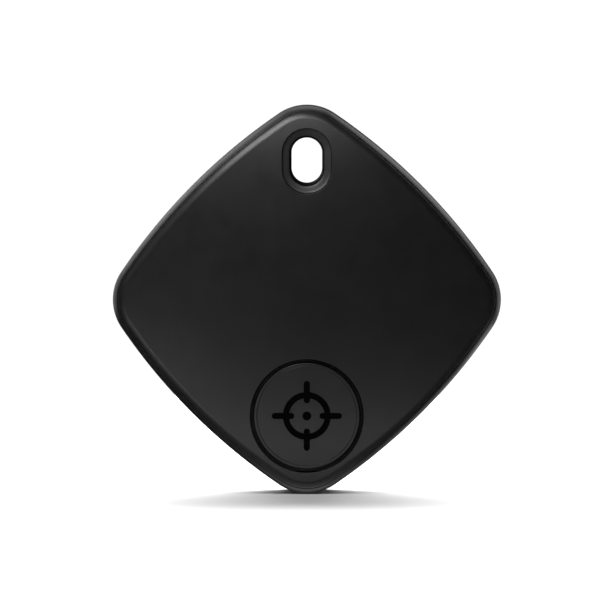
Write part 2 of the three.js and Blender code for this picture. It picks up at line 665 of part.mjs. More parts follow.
piece('main_board', geometryOf(mainBoard()), solderMask);
boardPart('radio_chip', chipResin, 5, 5, 0.85, 6.5, -3.6);
boardPart('main_crystal', steel, 2, 1.6, 0.5, 11.2, -2.6);
boardPart('clock_crystal', steel, 1.6, 1.0, 0.5, 11.0, -5.4);
boardPart('chip_antenna', ceramic, 3.2, 1.6, 0.6, -14.6, 7.4, -45);
boardPart('sounder_transistor', chipResin, 2.9, 1.3, 0.9, -5.2, -4.2);
piece('boost_inductor', boostInductor(), graphite, -10.4, BOARD_FRONT, -4.6);
const capacitorSpots = [[-12.4, 5.2, -45], [2.6, -6.6, 0], [5.2, -7.6, 0], [9.6, -0.2, 90], [-7.4, -6.8, 0]];
capacitorSpots.forEach(([x, z, turn], i) =>
  boardPart(`capacitor_${i + 1}`, tanCeramic, 1.0, 0.5, 0.45, x, z, turn));
const resistorSpots = [[-1.6, -6.4, 0], [-3.4, -7.8, 90], [8.6, -7.4, 0]];
resistorSpots.forEach(([x, z, turn], i) =>
  boardPart(`resistor_${i + 1}`, chipResin, 1.0, 0.5, 0.35, x, z, turn));

const discFront = INNER_FRONT + SOUNDER_LAYER;
const ceramicFront = discFront + SOUNDER_LAYER;
const ceramicRear = ceramicFront + SOUNDER_LAYER;
const tape = ring(SOUNDER_RADIUS - ADHESIVE_WIDTH, SOUNDER_RADIUS, INNER_FRONT, discFront);
piece('sounder_adhesive', tape, adhesive, 0, 0, SOUNDER_Z);
piece('sounder_disc', cylinder(SOUNDER_RADIUS, discFront, ceramicFront, 0, 0, 40), brass, 0, 0, SOUNDER_Z);
piece('sounder_ceramic', cylinder(CERAMIC_RADIUS, ceramicFront, ceramicRear), ceramic, 0, 0, SOUNDER_Z);
const onCeramic = ceramicRear + LEAD_RADIUS + LEAD_GAP;
const onDisc = ceramicFront + LEAD_RADIUS + LEAD_GAP;
const onBoard = BOARD_FRONT - LEAD_RADIUS - LEAD_GAP;
piece('sounder_lead_red', lead(
  new THREE.Vector3(-3.0, onCeramic, 4.4), new THREE.Vector3(-11.4, onBoard, 1.0), 0.5), redSleeve);
piece('sounder_lead_black', lead(
  new THREE.Vector3(-4.4, onDisc, 7.4), new THREE.Vector3(-11.8, onBoard, 2.9), 0.6), blackSleeve);

cellPieces();
piece('battery_pad', cylinder(PAD_RADIUS, CELL_REAR + PAD_GAP, INNER_REAR), foam);
piece('battery_frame', geometryOf(batteryFrame()), framePlastic);
piece('positive_contact', positiveContact(), springBronze, 0, 0, 0, POSITIVE_CONTACT_TURN);
piece('negative_contact', negativeContact(), springBronze);
piece('board_screw_left', geometryOf(boardScrew()), steel, -SCREW_X);
piece('board_screw_right', geometryOf(boardScrew()), steel, SCREW_X);

const tag = new THREE.Group(); // its origin is the middle of the keyring slot
middle.position.z = -SLOT_ABOVE_CENTRE;
tag.add(middle);

export default tag;
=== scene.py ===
import json
import math

import bmesh
import bpy
from mathutils import Matrix, Vector

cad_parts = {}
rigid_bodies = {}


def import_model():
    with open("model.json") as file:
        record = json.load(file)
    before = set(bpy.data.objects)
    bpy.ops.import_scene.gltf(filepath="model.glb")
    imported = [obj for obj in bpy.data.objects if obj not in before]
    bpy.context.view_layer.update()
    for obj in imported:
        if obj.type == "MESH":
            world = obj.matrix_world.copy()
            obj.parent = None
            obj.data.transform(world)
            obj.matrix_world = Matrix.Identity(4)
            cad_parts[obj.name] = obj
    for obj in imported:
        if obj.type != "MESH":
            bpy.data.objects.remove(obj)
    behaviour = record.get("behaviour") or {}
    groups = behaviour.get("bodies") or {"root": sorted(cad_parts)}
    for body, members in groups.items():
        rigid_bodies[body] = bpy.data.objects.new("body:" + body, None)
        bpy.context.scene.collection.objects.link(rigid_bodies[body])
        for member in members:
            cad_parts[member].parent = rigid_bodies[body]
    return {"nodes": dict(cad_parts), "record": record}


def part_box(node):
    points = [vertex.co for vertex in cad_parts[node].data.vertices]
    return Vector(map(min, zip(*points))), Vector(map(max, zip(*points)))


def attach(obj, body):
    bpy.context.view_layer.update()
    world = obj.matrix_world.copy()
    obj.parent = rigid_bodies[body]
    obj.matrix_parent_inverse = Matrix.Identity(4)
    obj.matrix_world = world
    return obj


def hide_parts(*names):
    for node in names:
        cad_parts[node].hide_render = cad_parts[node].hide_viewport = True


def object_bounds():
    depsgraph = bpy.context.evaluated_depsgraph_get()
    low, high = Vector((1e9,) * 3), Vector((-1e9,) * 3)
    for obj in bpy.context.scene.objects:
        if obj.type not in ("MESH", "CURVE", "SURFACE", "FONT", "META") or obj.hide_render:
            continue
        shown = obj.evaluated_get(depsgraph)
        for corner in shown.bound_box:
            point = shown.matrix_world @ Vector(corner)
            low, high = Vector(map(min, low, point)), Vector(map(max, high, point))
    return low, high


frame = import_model()
nodes = frame["nodes"]
cad_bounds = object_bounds()

# The script draws in millimetres about the middle of the case, with +X right, +Y to the rear and +Z up,
# and turns that into the frame's metres when it makes a mesh.
MM = 0.001
shell_low, shell_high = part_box("front_shell")
cover_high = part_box("rear_cover")[1]
MIDDLE_Z = (shell_low.z + shell_high.z) / 2

# Case sizes from the frame.
CORNER_REACH = (shell_high.x - shell_low.x) / 2 / MM
FRONT = shell_low.y / MM
REAR = cover_high.y / MM
SLOT_Z = -MIDDLE_Z / MM  # the frame's origin is the middle of the slot

# Case sizes that the frame's boxes don't give.
HALF_ACROSS = 19.0
CORNER_RADIUS = 5.9
FRONT_WALL = 1.2
REAR_WALL = 1.0
SEAM = 1.4
SLOT_WIDTH = 3.6
SLOT_HEIGHT = 5.45
BUTTON_RADIUS = 6.23
BUTTON_HOLE_RADIUS = 6.68
INNER_FRONT = FRONT + FRONT_WALL
INNER_REAR = REAR - REAR_WALL


def centre_of(node):
    """The middle of a CAD node's box, in the script's millimetres."""
    low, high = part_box(node)
    middle = (low + high) / 2
    return Vector((middle.x / MM, middle.y / MM, (middle.z - MIDDLE_Z) / MM))


def span_of(node, axis):
    """A CAD node's lowest and highest place along an axis, in the script's millimetres."""
    low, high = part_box(node)
    offset = MIDDLE_Z if axis == 2 else 0
    return (low[axis] - offset) / MM, (high[axis] - offset) / MM


BUTTON_Z = centre_of("button_seal").z


# ---- Outlines: lists of (x, z) that go round once ----

def arc(cx, cz, radius, start, end, steps):
    """Points on an arc from angle start to angle end in degrees, both ends included.

    With (inset, y) for its centre, it gives the layers of a round edge for loft().
    """
    angles = [math.radians(start + (end - start) * i / steps) for i in range(steps + 1)]
    return [(cx + radius * math.cos(a), cz + radius * math.sin(a)) for a in angles]


def case_outline(inset, corner_steps=28, side_steps=24):
    """The case outline moved inwards: four corner arcs and four side arcs, tangent to each other."""
    corner_centre = CORNER_REACH - CORNER_RADIUS
    flat = HALF_ACROSS - CORNER_RADIUS
    diagonal = math.sqrt(0.5)
    beyond = (corner_centre ** 2 - flat ** 2) / (2 * (flat - corner_centre * diagonal))
    meet = math.degrees(math.atan2(beyond * diagonal, corner_centre + beyond * diagonal))
    points = []
    for corner in (0, 90, 180, 270):
        to_corner = Matrix.Rotation(math.radians(corner), 2) @ Vector((corner_centre, 0))
        to_side = Matrix.Rotation(math.radians(corner + 45), 2) @ Vector((-beyond, 0))
        points += arc(*to_corner, CORNER_RADIUS - inset, corner - meet, corner + meet, corner_steps)
        side = arc(*to_side, HALF_ACROSS + beyond - inset, corner + meet, corner + 90 - meet,
                   side_steps)
        points += side[1:-1]
    return points


def slot_outline(offset, steps=32):
    """The keyring slot's outline, larger by offset."""
    straight = (SLOT_HEIGHT - SLOT_WIDTH) / 2
    radius = SLOT_WIDTH / 2 + offset
    return (arc(0, SLOT_Z + straight, radius, 0, 180, steps)
            + arc(0, SLOT_Z - straight, radius, 180, 360, steps))


# ---- Mesh building ----

ROUNDED_ABOVE = 35.0  # degrees between two faces
FLAT_FACE_WEIGHT = 90  # how much large faces decide the shading normals, 50 is even

def new_object(name, bm):
    """A mesh object from bm, whose points are in the script's millimetres."""
    for v in bm.verts:
        v.co = Vector((v.co.x * MM, v.co.y * MM, v.co.z * MM + MIDDLE_Z))
    bmesh.ops.recalc_face_normals(bm, faces=bm.faces)
    mesh = bpy.data.meshes.new(name)
    bm.to_mesh(mesh)
    bm.free()
    obj = bpy.data.objects.new(name, mesh)
    bpy.context.scene.collection.objects.link(obj)
    return obj


def add_rings(bm, rings, closed=False):
    """Joins rings of as many points with quads, and caps the ends unless the last ring meets the first."""
    made = [[bm.verts.new(p) for p in r] for r in rings]
    pairs = list(zip(made, made[1:] + made[:1])) if closed else list(zip(made, made[1:]))
    for near, far in pairs:
        for i in range(len(near)):
            j = (i + 1) % len(near)
            bm.faces.new((near[i], near[j], far[j], far[i]))
    if not closed:
        bm.faces.new(made[0])
        bm.faces.new(made[-1])


def loft(name, outline, layers):
    """A solid through the outline at each layer (inset, y)."""
    bm = bmesh.new()
    add_rings(bm, [[(x, y, z) for x, z in outline(inset)] for inset, y in layers])
    return new_object(name, bm)


def turned(name, profile, x=0.0, z=0.0, steps=96, closed=False):
    """A solid turned about the depth axis through (x, z), from (radius, y) points."""
    bm = bmesh.new()
    around = [2 * math.pi * i / steps for i in range(steps)]
    rings = [[(x + r * math.cos(a), y, z + r * math.sin(a)) for a in around] for r, y in profile]
    add_rings(bm, rings, closed)
    return new_object(name, bm)


def prism(name, outline, front, rear):
    """A solid with a flat outline of (x, z) points."""
    bm = bmesh.new()
    add_rings(bm, [[(x, y, z) for x, z in outline] for y in (front, rear)])
    return new_object(name, bm)


def rectangle(width, height, x=0.0, z=0.0, turn=0.0):
    """The four corners of a rectangle about (x, z), turned in degrees."""
    spin = Matrix.Rotation(math.radians(turn), 2)
    corners = [(-1, -1), (1, -1), (1, 1), (-1, 1)]
    return [tuple(spin @ Vector((sx * width / 2, sz * height / 2)) + Vector((x, z))) for sx, sz in corners]


def rounded(width, height, radius, x=0.0, z=0.0, turn=0.0, steps=5):
    """A rectangle with round corners."""
    spin = Matrix.Rotation(math.radians(turn), 2)
    points = []
    for start, sx, sz in ((0, 1, 1), (90, -1, 1), (180, -1, -1), (270, 1, -1)):
        cx, cz = sx * (width / 2 - radius), sz * (height / 2 - radius)
        points += arc(cx, cz, radius, start, start + 90, steps)
    return [tuple(spin @ Vector(p) + Vector((x, z))) for p in points]


def apply_modifiers(obj):
    """Replaces the object's mesh with what its modifiers make of it."""
    graph = bpy.context.evaluated_depsgraph_get()
    made = bpy.data.meshes.new_from_object(obj.evaluated_get(graph))
    obj.modifiers.clear()
    old, obj.data = obj.data, made
    bpy.data.meshes.remove(old)


def combine(base, operation, others):
    """Joins others to base or cuts them from it, and deletes them."""
    for other in others:
        modifier = base.modifiers.new("combine", "BOOLEAN")
        modifier.operation = operation
        modifier.solver = "EXACT"
        modifier.object = other
    apply_modifiers(base)
    for other in others:
        bpy.data.objects.remove(other)
    return base


def cut(base, *others):
    return combine(base, "DIFFERENCE", others)


def join(base, *others):
    return combine(base, "UNION", others)


def round_edges(obj, width, steps=3):
    """Adds a modifier that rounds edges sharper than ROUNDED_ABOVE to width mm."""
    modifier = obj.modifiers.new("rounded_edges", "BEVEL")
    modifier.width = width * MM
    modifier.segments = steps
    modifier.limit_method = "ANGLE"
    modifier.angle_limit = math.radians(ROUNDED_ABOVE)


def smooth(obj, sharp=32.0):
    """Smooth shading, with creases sharper than sharp degrees kept and flat faces that stay flat."""
    for polygon in obj.data.polygons:
        polygon.use_smooth = True
    obj.data.set_sharp_from_angle(angle=math.radians(sharp))
    weighted = obj.modifiers.new("flat_faces_stay_flat", "WEIGHTED_NORMAL")
    weighted.keep_sharp = True
    weighted.weight = FLAT_FACE_WEIGHT
    return obj


# ---- Materials: every one is worked out in the shader from the object's own coordinates ----

# The mix node has several sockets of the same name, so its colour sockets are found by number.
COLOR_A, COLOR_B, COLOR_RESULT = 6, 7, 2


class Shader:
    """A material with a Principled shader, and short ways to add the textures that drive it."""

    def __init__(self, name, color, roughness, metallic=0.0, **sockets):
        self.material = bpy.data.materials.new(name)
        self.material.use_nodes = True
        self.tree = self.material.node_tree
        self.nodes, self.links = self.tree.nodes, self.tree.links
        self.surface = self.nodes["Principled BSDF"]
        self.set(self.surface, "Base Color", (*color, 1.0))
        self.set(self.surface, "Roughness", roughness)
        self.set(self.surface, "Metallic", metallic)
        for socket, value in sockets.items():
            self.set(self.surface, socket, value)
        self.color, self.roughness = color, roughness
        self.coordinates = self.nodes.new("ShaderNodeTexCoord").outputs["Object"]
        self.bump = None

    def set(self, node, socket, value):
        node.inputs[socket].default_value = value

    def stretched(self, scale, turn=0.0):
        """The object's coordinates, scaled differently along each axis."""
        mapping = self.nodes.new("ShaderNodeMapping")
        self.set(mapping, "Scale", scale)
        self.set(mapping, "Rotation", (0, math.radians(turn), 0))
        self.links.new(self.coordinates, mapping.inputs["Vector"])
        return mapping.outputs["Vector"]

    def noise(self, size, detail=2.0, rough=0.5, vector=None, distortion=0.0):
        """Soft noise whose features are about size millimetres across."""
        node = self.nodes.new("ShaderNodeTexNoise")
        self.set(node, "Scale", 1 / (size * MM))
        self.set(node, "Detail", detail)
        self.set(node, "Roughness", rough)
        self.set(node, "Distortion", distortion)
        self.links.new(vector or self.coordinates, node.inputs["Vector"])
        return node.outputs["Fac"]

    def cells(self, size, feature="F1"):
        """Voronoi cells about size millimetres across."""
        node = self.nodes.new("ShaderNodeTexVoronoi")
        node.feature = feature
        self.set(node, "Scale", 1 / (size * MM))
        self.links.new(self.coordinates, node.inputs["Vector"])
        return node.outputs["Distance"]

    def ramp(self, value, low, high, start=0.0, end=1.0):
        """Maps value from start..end to low..high."""
        node = self.nodes.new("ShaderNodeMapRange")
        for socket, number in (("From Min", start), ("From Max", end), ("To Min", low), ("To Max", high)):
            self.set(node, socket, number)
        self.links.new(value, node.inputs["Value"])
        return node.outputs["Result"]

    def mix(self, factor, first, second):
        """The colour first where factor is 0, and the colour second where it is 1."""
        node = self.nodes.new("ShaderNodeMix")
        node.data_type = "RGBA"
        self.links.new(factor, node.inputs["Factor"])
        for socket, color in ((COLOR_A, first), (COLOR_B, second)):
            node.inputs[socket].default_value = (*color, 1.0)
        return node.outputs[COLOR_RESULT]

    def math(self, operation, first, second):
        """A sum on two values, each a number or another node's output."""
        node = self.nodes.new("ShaderNodeMath")
        node.operation = operation
        for socket, value in zip(node.inputs, (first, second)):
            if isinstance(value, (int, float)):
                socket.default_value = value
            else:
                self.links.new(value, socket)
        return node.outputs[0]

    def relief(self, height, depth, strength=1.0):
        """Adds a bump of depth millimetres."""
        node = self.nodes.new("ShaderNodeBump")
        self.set(node, "Strength", strength)
        self.set(node, "Distance", depth * MM)
        self.links.new(height, node.inputs["Height"])
        if self.bump is not None:
            self.links.new(self.bump, node.inputs["Normal"])
        self.bump = node.outputs["Normal"]
        self.links.new(self.bump, self.surface.inputs["Normal"])

    def vary_roughness(self, value, spread):
        self.links.new(self.ramp(value, self.roughness - spread, self.roughness + spread, 0.25, 0.75),
                       self.surface.inputs["Roughness"])

    def vary_color(self, value, other, start=0.3, end=0.7):
        self.links.new(self.mix(self.ramp(value, 0, 1, start, end), self.color, other),
                       self.surface.inputs["Base Color"])

    def edges(self, width):
        """0 on flat stretches and 1 on edges within width mm, from how far a rounded normal turns."""
        rounded_normal = self.nodes.new("ShaderNodeBevel")
        rounded_normal.samples = 4
        self.set(rounded_normal, "Radius", width * MM)
        geometry = self.nodes.new("ShaderNodeNewGeometry")
        facing = self.nodes.new("ShaderNodeVectorMath")
        facing.operation = "DOT_PRODUCT"
        self.links.new(rounded_normal.outputs["Normal"], facing.inputs[0])
        self.links.new(geometry.outputs["Normal"], facing.inputs[1])
        return self.ramp(facing.outputs["Value"], 1, 0, 0.8, 1.0)


def moulded_plastic(name, color, roughness, worn, grain=0.09, specular=0.5):
    """Moulded plastic: spark-eroded grain, faint smudges, fine scratches and polished edges."""
    s = Shader(name, color, roughness, **{"Specular IOR Level": specular})
    grain_depth = 0.004
    smudge = s.noise(3.0, 4.0, 0.6, distortion=0.4)
    scratch = s.noise(0.35, 2.0, 0.5, s.stretched((1.0, 1.0, 0.02), 37))
    scratched = s.ramp(scratch, 0.0, 1.0, 0.66, 0.74)
    edge = s.edges(0.12)
    s.vary_color(s.math("MAXIMUM", s.math("MULTIPLY", edge, 0.6), s.math("MULTIPLY", smudge, 0.35)),
                 worn, 0.1, 0.9)
    polish = s.math("MULTIPLY", s.math("ADD", scratched, edge), 0.15)
    s.vary_roughness(s.math("SUBTRACT", smudge, polish), 0.02)
    s.relief(s.noise(grain, 3.0, 0.6), grain_depth, 0.5)
    s.relief(s.cells(grain * 1.6), grain_depth, 0.25)
    s.relief(scratched, 0.002, 0.3)
    return s.material


def printed_ink(name):
    """Matt black ink with a dry, slightly cracked surface."""
    s = Shader(name, (0.0005, 0.0005, 0.0005), 0.75, **{"Specular IOR Level": 0.02})
    dry = s.noise(0.25, 4.0, 0.7)
    s.vary_color(dry, (0.0012, 0.0012, 0.0012))
    s.vary_roughness(dry, 0.08)
    s.relief(s.noise(0.05, 3.0), 0.003, 0.5)
    return s.material


def rubber(name, color, roughness):
    """Soft rubber or a dull sleeve, with dust and a fine bloom."""
    s = Shader(name, color, roughness)
    dust = s.noise(1.4, 5.0, 0.7)
    s.vary_color(dust, tuple(c * 2.2 + 0.004 for c in color))
    s.vary_roughness(s.noise(0.6, 3.0), 0.08)
    s.relief(s.noise(0.05, 3.0), 0.004, 0.6)
    return s.material


def foam(name, color):
    """Closed-cell foam with dark pores."""
    s = Shader(name, color, 0.95)
    pores = s.cells(0.18)
    s.vary_color(pores, tuple(c * 0.35 for c in color), 0.35, 0.75)
    s.vary_roughness(pores, 0.04)
    s.relief(pores, 0.05, 0.9)
    s.relief(s.noise(0.8, 3.0), 0.03, 0.6)
    return s.material


def sheet_metal(name, color, roughness, along=(1.0, 1.0, 0.04), turn=0.0, tarnish=None):
    """Rolled metal: fine lines along the sheet, tarnish and tiny pits."""
    s = Shader(name, color, roughness, 1.0)
    lines = s.noise(0.12, 3.0, 0.6, s.stretched(along, turn))
    stain = s.noise(2.6, 5.0, 0.6, distortion=0.6)
    s.vary_color(stain, tarnish or tuple(c * 0.78 for c in color), 0.35, 0.75)
    s.vary_roughness(lines, 0.08)
    s.relief(lines, 0.002, 0.5)
    s.relief(s.cells(0.3, "SMOOTH_F1"), 0.003, 0.25)
    return s.material


def glazed(name, color, roughness, speck):
    """Fired ceramic or moulded resin, with fine specks."""
    s = Shader(name, color, roughness)
    s.vary_color(s.noise(0.15, 4.0, 0.7), speck)
    s.vary_roughness(s.noise(0.5, 3.0), 0.06)
    s.relief(s.noise(0.06, 3.0), 0.003, 0.5)
    return s.material


def circuit_board(name, green, deep):
    """Green solder mask over glass cloth, with the weave faintly raised."""
    s = Shader(name, green, 0.32, **{"Coat Weight": 0.35, "Coat Roughness": 0.18})
    across = s.noise(0.22, 1.0, 0.5, s.stretched((1.0, 1.0, 0.18), 45))
    along = s.noise(0.22, 1.0, 0.5, s.stretched((0.18, 1.0, 1.0), 45))
    weave = s.math("MAXIMUM", across, along)
    s.vary_color(s.noise(2.2, 3.0), deep)
    s.vary_roughness(s.noise(0.9, 3.0), 0.06)
    s.relief(weave, 0.008, 0.4)
    return s.material


def paper_sheet(name):
    """Thin paper with fibres that lie mostly one way."""
    s = Shader(name, (0.78, 0.76, 0.7), 0.9)
    fibres = s.noise(0.3, 5.0, 0.7, s.stretched((1.0, 1.0, 0.25), 20))
    s.vary_color(fibres, (0.66, 0.63, 0.56))
    s.vary_roughness(fibres, 0.05)
    s.relief(fibres, 0.02, 0.7)
    return s.material


MATERIALS = {
    "shell": moulded_plastic("shell_plastic", (0.005, 0.005, 0.0052), 0.40, (0.014, 0.014, 0.0145)),
    "button": moulded_plastic("button_plastic", (0.0055, 0.0055, 0.0057), 0.42, (0.013, 0.013, 0.0135)),
    # Painted shade: darker, duller plastic on the slot's deep narrow wall, standing in for the shade there.
    "slot_painted_shade": moulded_plastic("slot_painted_shade_plastic", (0.001, 0.001, 0.001), 0.62, (0.003, 0.003, 0.003),
                                 grain=0.2, specular=0.12),
    "glyph": printed_ink("glyph_ink"),
    "silicone": rubber("silicone", (0.0015, 0.0015, 0.0016), 0.8),
    "foam": foam("foam", (0.03, 0.03, 0.033)),
    "frame_plastic": moulded_plastic("frame_plastic", (0.022, 0.022, 0.024), 0.55, (0.05, 0.05, 0.052)),
    "nylon": rubber("nylon", (0.03, 0.034, 0.045), 0.5),
    "cell_steel": sheet_metal("cell_steel", (0.62, 0.62, 0.63), 0.27, (0.05, 1.0, 1.0), 12),
    "steel": sheet_metal("steel", (0.58, 0.58, 0.6), 0.3),
    "tin": sheet_metal("tin", (0.6, 0.6, 0.6), 0.38, (0.6, 1.0, 0.6)),
    "gold": sheet_metal("gold", (0.78, 0.55, 0.25), 0.3, (0.4, 1.0, 1.0), 30),
    "bronze": sheet_metal("spring_bronze", (0.72, 0.5, 0.24), 0.28, (0.06, 1.0, 1.0), 45),
    "brass": sheet_metal("brass", (0.68, 0.47, 0.18), 0.33, (0.05, 1.0, 1.0), 8, (0.5, 0.31, 0.1)),
    "lithium": sheet_metal("lithium", (0.5, 0.51, 0.52), 0.5, (0.3, 1.0, 1.0)),
    "board": circuit_board("solder_mask", (0.008, 0.075, 0.032), (0.003, 0.042, 0.02)),
    "track": circuit_board("covered_track", (0.02, 0.14, 0.055), (0.01, 0.09, 0.04)),
    "resin": glazed("chip_resin", (0.013, 0.013, 0.014), 0.48, (0.03, 0.03, 0.032)),
    "switch_plastic": moulded_plastic("switch_plastic", (0.016, 0.016, 0.016), 0.5, (0.03, 0.03, 0.03)),
    "white_ceramic": glazed("white_ceramic", (0.72, 0.71, 0.67), 0.4, (0.62, 0.6, 0.55)),
    "piezo": glazed("piezo_ceramic", (0.6, 0.59, 0.54), 0.45, (0.5, 0.48, 0.42)),
    "tan_ceramic": glazed("capacitor_ceramic", (0.34, 0.2, 0.1), 0.45, (0.27, 0.15, 0.07)),
    "ferrite": glazed("ferrite", (0.045, 0.045, 0.048), 0.6, (0.08, 0.08, 0.082)),
    "tape": foam("foam_tape", (0.62, 0.6, 0.52)),
    "cathode": glazed("cathode_powder", (0.04, 0.04, 0.042), 0.85, (0.075, 0.075, 0.078)),
    "paper": paper_sheet("separator_paper"),
    "red_sleeve": rubber("red_sleeve", (0.35, 0.012, 0.01), 0.42),
    "black_sleeve": rubber("black_sleeve", (0.012, 0.012, 0.012), 0.42),
}


def dress(obj, *materials):
    """Gives an object its materials, the first one on every face that has no other."""
    obj.data.materials.clear()
    for material in materials:
        obj.data.materials.append(MATERIALS[material])
    return obj


def stand_for(obj, *cad_nodes):
    """obj rides on its CAD nodes' body and stands for them: they are hidden."""
    record = frame["record"]
    bodies = record["behaviour"]["bodies"]
    body = next(b for b, members in bodies.items() if cad_nodes[0] in members)
    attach(obj, body)
    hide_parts(*cad_nodes)


# ---- Case ----

SLOT_NECK = 1.5  # how deep the slot's narrowest part starts
POCKET = 1.6  # inset of the space for the board and the cell
REBATE = 0.85  # inset of the step for the cover's tongue and the seal
REBATE_FRONT = -0.6
SOUNDER_Z = 2.5
SCREW_X = 16

# Pegs inside the front wall, on both sides: x, z, radius, and how far past the board's front they go.
PEGS = ((SCREW_X, 0, 1.6, 0), (9.5, -9.0, 1.0, 0), (8.5, 9.6, 1.2, 0), (8.5, 9.6, 0.6, 1.05),
        (7.9, BUTTON_Z - 2.1, 0.45, -0.8), (7.9, BUTTON_Z + 2.1, 0.45, -0.8))
SLOT_SHADE_REACH = 0.26  # how far outside the slot's outline its painted shade goes


def dished_bevel(face, inwards):
    """Layers (offset, y) of the slot's recess: lip, steep step, dished floor, roll into the neck."""
    step = [(1.17, 0.0), (1.15, 0.008), (1.13, 0.03), (1.12, 0.06), (1.07, 0.19), (1.04, 0.235),
            (0.99, 0.27), (0.92, 0.295)]
    floor = [(0.7, 0.335), (0.5, 0.372), (0.33, 0.41)]
    roll = [(0.27, 0.43), (0.21, 0.465), (0.16, 0.52), (0.125, 0.6), (0.105, 0.7), (0.09, 0.85)]
    return [(offset, face + inwards * depth) for offset, depth in step + floor + roll]


def slot_cutter(name):
    front = dished_bevel(FRONT, 1)
    rear = dished_bevel(REAR, -1)
    wide = front[0][0]
    return loft(name, slot_outline,
                [(wide, FRONT - 1)] + front + [(0.0, FRONT + SLOT_NECK), (0.0, REAR - SLOT_NECK)]
                + rear[::-1] + [(wide, REAR + 1)])


def front_profile():
    """Layers (inset, y) of the front shell's outside: face, shoulder, crease, rim and seam."""
    shoulder, rim = 1.5, 2.4
    edge_tilt = math.radians(6)
    seam_front = SEAM - 0.05
    return ([(1.58, FRONT), (1.53, FRONT + 0.001)]
            + arc(1.5 + shoulder * math.sin(edge_tilt), FRONT + shoulder * math.cos(edge_tilt),
                       shoulder, -96, -126, 12)
            + [(0.74, FRONT + 0.32), (0.70, FRONT + 0.40), (0.675, FRONT + 0.44), (0.65, FRONT + 0.43),
               (0.635, FRONT + 0.405)]
            + arc(rim, FRONT + 2.0, rim, -139, -180, 14)
            + [(0.0, seam_front - 0.4)]
            + arc(0.15, seam_front - 0.15, 0.15, 180, 90, 5))


def paint_slot_shade(obj):
    """Gives the slot's narrow wall the second material, a painted shade: darker and duller than the shell.
    """
    straight = (SLOT_HEIGHT - SLOT_WIDTH) / 2
    for polygon in obj.data.polygons:
        x, z = polygon.center.x / MM, (polygon.center.z - MIDDLE_Z) / MM
        off_axis = math.hypot(x, max(0.0, abs(z - SLOT_Z) - straight))
        if off_axis < SLOT_WIDTH / 2 + SLOT_SHADE_REACH:
            polygon.material_index = 1
    return obj


def make_front_shell():
    shell = loft("front_shell_moulding", case_outline, front_profile())
    hollow = loft("hollow", case_outline,
                  [(1.9, INNER_FRONT), (1.65, INNER_FRONT + 0.08), (POCKET, INNER_FRONT + 0.3),
                   (POCKET, REBATE_FRONT), (REBATE, REBATE_FRONT - 0.001), (REBATE, SEAM + 1)])
    tube = loft("slot_tube", slot_outline, [(1.3, INNER_FRONT - 0.2), (1.3, INNER_REAR - 0.25),
                                            (1.15, INNER_REAR - 0.1)])
    cut(shell, hollow)
    posts = [tube]
    seat = span_of("main_board", 1)[0]
    for side in (-1, 1):
        for x, z, radius, past in PEGS:
            rear = seat + past
            profile = [(radius, INNER_FRONT - 0.2), (radius, rear - 0.1), (radius - 0.1, rear)]
            posts.append(turned("post", profile, side * x, z, 40))
    inner, outer = 7.65, 8.25
    rib = turned("rib", [(inner, INNER_FRONT - 0.2), (outer, INNER_FRONT - 0.2),
                         (outer, INNER_FRONT + 0.6), (inner, INNER_FRONT + 0.6)],
                 0, SOUNDER_Z, 80, True)
    join(shell, rib, *posts)
    hole_edge = 0.06
    hole = [(BUTTON_HOLE_RADIUS + hole_edge, FRONT - 1)]
    hole += [(BUTTON_HOLE_RADIUS + hole_edge * (1 - math.sin(math.radians(a))),
              FRONT + hole_edge * (1 - math.cos(math.radians(a)))) for a in range(0, 91, 15)]
    hole.append((BUTTON_HOLE_RADIUS, INNER_FRONT + 0.1))
    pilot_radius = 0.7
    pilots = [turned("pilot", [(pilot_radius, INNER_FRONT + 0.4), (pilot_radius, seat + 1)],
                     side * SCREW_X, 0, 32) for side in (-1, 1)]
    cut(shell, slot_cutter("slot"), turned("hole", hole, 0, BUTTON_Z, 128), *pilots)
    # The slot's wall takes the painted shade.
    stand_for(paint_slot_shade(dress(smooth(shell), "shell", "slot_painted_shade")), "front_shell")


def rear_profile():
    """Layers (inset, y) of the rear cover's outside, from the seam to the back."""
    seam_rear = SEAM + 0.05
    return (arc(0.15, seam_rear + 0.15, 0.15, -90, -180, 5)
            + arc(1.3, REAR - 1.3, 1.3, 180, 90, 16))


def make_rear_cover():
    cover = loft("rear_cover_moulding", case_outline, rear_profile())
    tongue = loft("tongue", case_outline, [(1.08, -0.1), (1.0, 0.0), (1.0, SEAM + 0.5)])
    join(cover, tongue)
    inside = loft("inside", case_outline,
                  [(1.62, -0.2), (1.7, 0.02), (1.7, INNER_REAR - 0.35), (1.78, INNER_REAR - 0.1),
                   (2.05, INNER_REAR)])
    notch = prism("notch", rounded(5, 1.4, 0.35, 0, -CORNER_REACH), SEAM - 0.5, SEAM + 0.8)
    cut(cover, inside, slot_cutter("slot"), notch)
    # The slot's wall takes the painted shade.
    stand_for(paint_slot_shade(dress(smooth(cover), "shell", "slot_painted_shade")), "rear_cover")


# ---- Button ----

def cap_profile():
    """(radius, y) of the button cap, from the middle of its face to the switch pip."""
    flange_front = INNER_FRONT + 0.05
    switch_top = span_of("button_cap", 1)[1]
    line, edge = 5.86, 0.14
    flange, flange_rear, pip = 6.8, flange_front + 0.45, 1.2
    return ([(0.02, FRONT), (2.0, FRONT), (4.4, FRONT), (line - 0.05, FRONT), (line, FRONT + 0.045),
             (line + 0.05, FRONT + 0.012)]
            + arc(BUTTON_RADIUS - edge, FRONT + edge, edge, -90, 0, 6)
            + [(BUTTON_RADIUS, FRONT + 0.7), (BUTTON_RADIUS - 0.2, FRONT + 0.74),
               (BUTTON_RADIUS - 0.2, FRONT + 1.1), (BUTTON_RADIUS, FRONT + 1.13),
               (BUTTON_RADIUS, flange_front), (flange, flange_front), (flange, flange_rear),
               (pip, flange_rear), (pip, switch_top - 0.05), (1.15, switch_top), (0.02, switch_top)])


